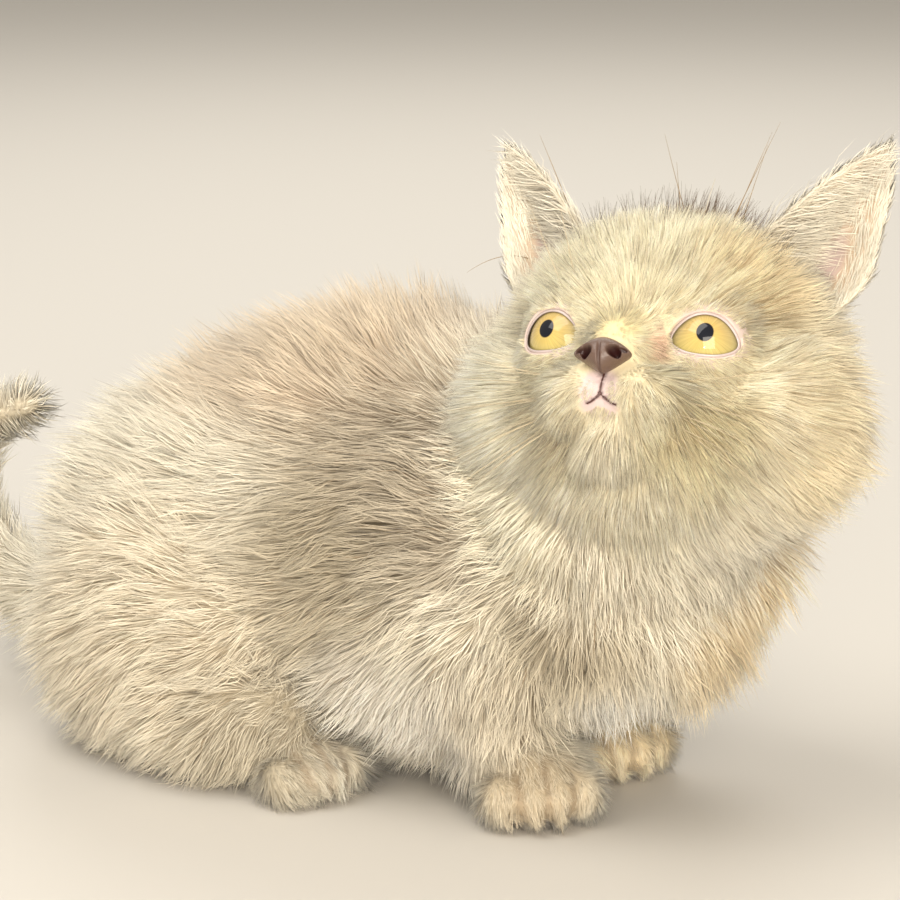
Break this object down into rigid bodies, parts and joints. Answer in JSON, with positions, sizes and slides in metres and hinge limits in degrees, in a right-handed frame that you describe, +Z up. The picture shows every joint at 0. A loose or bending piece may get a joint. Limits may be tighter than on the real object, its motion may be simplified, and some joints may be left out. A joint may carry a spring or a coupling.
{
  "type": "kitten model",
  "caption": "Still life-size model of a short-legged munchkin kitten crouching on the floor, its head turned back over its shoulder and looking up.",
  "frame": {"origin": "on the floor, under the middle of the model's bounding box", "axes": "+X runs from tail to chest, +Y to the cat's left, +Z up from the floor"},
  "size_m": [0.2428, 0.104, 0.136],
  "materials": {
    "fur_cream": "long soft cream and buff fur",
    "fur_paw": "short dense cream fur",
    "ear_skin": "thin pinkish-beige skin with fine pale hair",
    "nose_leather": "damp pebbled skin",
    "eye": "wet, clear and glossy over a golden-yellow iris"
  },
  "bodies": {
    "root": {"ear_left": "ear_skin", "ear_right": "ear_skin", "eye_left": "eye", "eye_right": "eye", "foot_hind_left": "fur_paw", "foot_hind_right": "fur_paw", "head": "fur_cream", "leg_front_left": "fur_cream", "leg_front_right": "fur_cream", "neck": "fur_cream", "nose": "nose_leather", "paw_front_left": "fur_paw", "paw_front_right": "fur_paw", "tail_base": "fur_cream", "tail_middle": "fur_cream", "tail_tip": "fur_cream", "thigh_left": "fur_cream", "thigh_right": "fur_cream", "torso": "fur_cream"}
  },
  "joints": []
}
